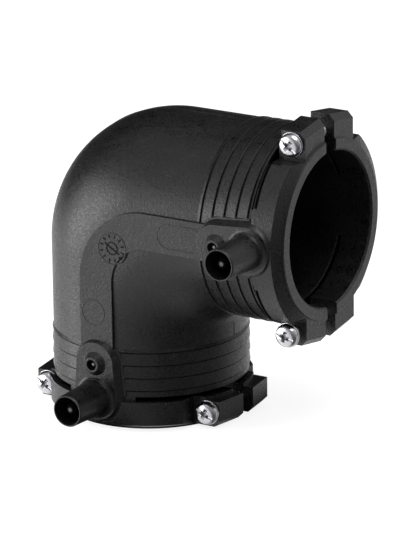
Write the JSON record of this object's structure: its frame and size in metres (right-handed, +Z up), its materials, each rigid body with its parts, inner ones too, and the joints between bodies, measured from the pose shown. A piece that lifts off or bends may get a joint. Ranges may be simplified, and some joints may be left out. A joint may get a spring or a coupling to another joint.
{
  "type": "electrofusion elbow",
  "caption": "Right-angle plastic pipe elbow with a welding socket at each end, split clamp rings drawn by cross-head screws, and shrouded terminals with melt indicators on one face.",
  "frame": {"origin": "centre of the lower socket's mouth, in the plane that the part stands on", "axes": "+Z up the lower socket's axis, +X out of the side socket, -Y the face that carries the terminals"},
  "size_m": [0.1052, 0.0836, 0.1053],
  "materials": {
    "body_plastic": "satin black moulded polyethylene",
    "winding_wire": "bare resistance wire",
    "pin_metal": "turned brass, slightly dulled",
    "indicator_plastic": "pale moulded plastic",
    "screw_metal": "bright zinc plate"
  },
  "bodies": {
    "root": {"elbow_body": "body_plastic", "heating_winding": "winding_wire", "terminal_pin_side": "pin_metal", "terminal_pin_lower": "pin_metal", "fusion_indicator_side": "indicator_plastic", "fusion_indicator_lower": "indicator_plastic", "clamp_screw_outer_side": "screw_metal", "clamp_screw_outer_lower": "screw_metal", "clamp_screw_inner_side": "screw_metal", "clamp_screw_inner_lower": "screw_metal"}
  },
  "joints": []
}
